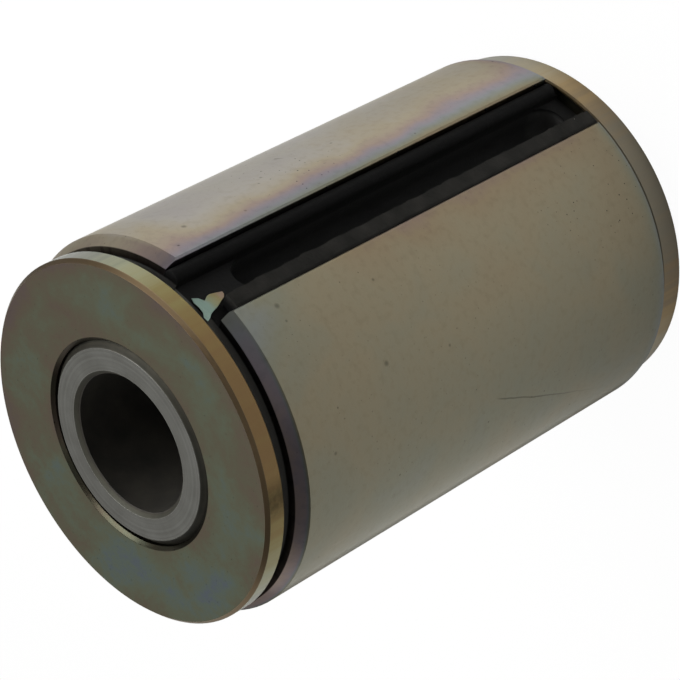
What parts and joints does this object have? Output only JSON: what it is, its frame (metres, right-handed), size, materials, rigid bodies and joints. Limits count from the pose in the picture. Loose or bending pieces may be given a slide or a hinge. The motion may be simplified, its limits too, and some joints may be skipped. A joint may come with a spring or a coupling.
{
  "type": "leaf spring bushing",
  "caption": "Bonded rubber and steel bush for a leaf spring eye: bored inner sleeve, rubber body, slotted outer sleeve of half shells, and an end disc at each end.",
  "frame": {"origin": "middle of the bottom face, on the axis of the bore", "axes": "+Z along the bore, towards the end with the wider gap; -Y through the middle of one slot between the half shells"},
  "size_m": [0.066, 0.0646, 0.102],
  "materials": {
    "bare_steel": "turned, bare",
    "rubber": "moulded, matt",
    "plated_shell": "yellow-chromated zinc plate",
    "plated_disc": "yellow-chromated zinc plate"
  },
  "bodies": {
    "root": {"inner_sleeve": "bare_steel", "rubber_body": "rubber", "right_shell": "plated_shell", "left_shell": "plated_shell", "top_disc": "plated_disc", "bottom_disc": "plated_disc"}
  },
  "joints": []
}
